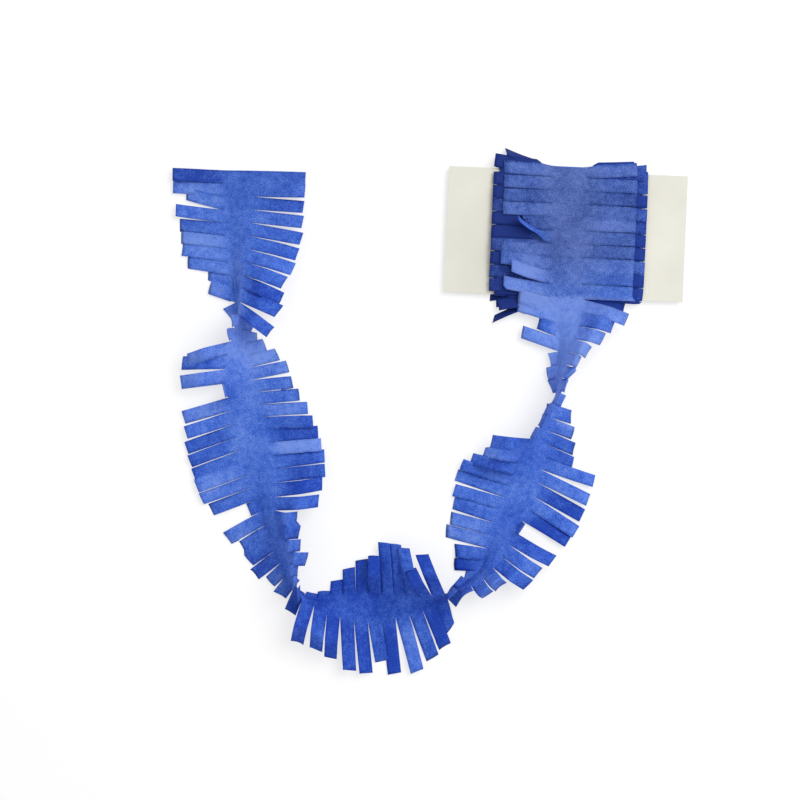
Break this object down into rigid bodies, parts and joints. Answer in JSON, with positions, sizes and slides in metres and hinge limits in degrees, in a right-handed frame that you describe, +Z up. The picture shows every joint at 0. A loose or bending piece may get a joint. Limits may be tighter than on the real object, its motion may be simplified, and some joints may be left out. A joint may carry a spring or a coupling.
{
  "type": "tissue paper fringe garland",
  "caption": "Long tissue paper strip with a slit fringe on both edges, wound flat on a board, with a twisted tail that lies loose for hanging as a party streamer.",
  "frame": {"origin": "on the surface that the garland lies on, under the middle of the board", "axes": "+X along the board, +Y up the board in the direction that the strip is wound, +Z up from the surface"},
  "size_m": [0.3879, 0.3885, 0.0418],
  "materials": {
    "grey_board": "pale warm grey board, matt, smooth",
    "blue_tissue": "dyed blue tissue, thin, matt, softly mottled, darker where it lies double"
  },
  "bodies": {
    "root": {"winding_card": "grey_board", "fringe_garland": "blue_tissue"}
  },
  "joints": []
}
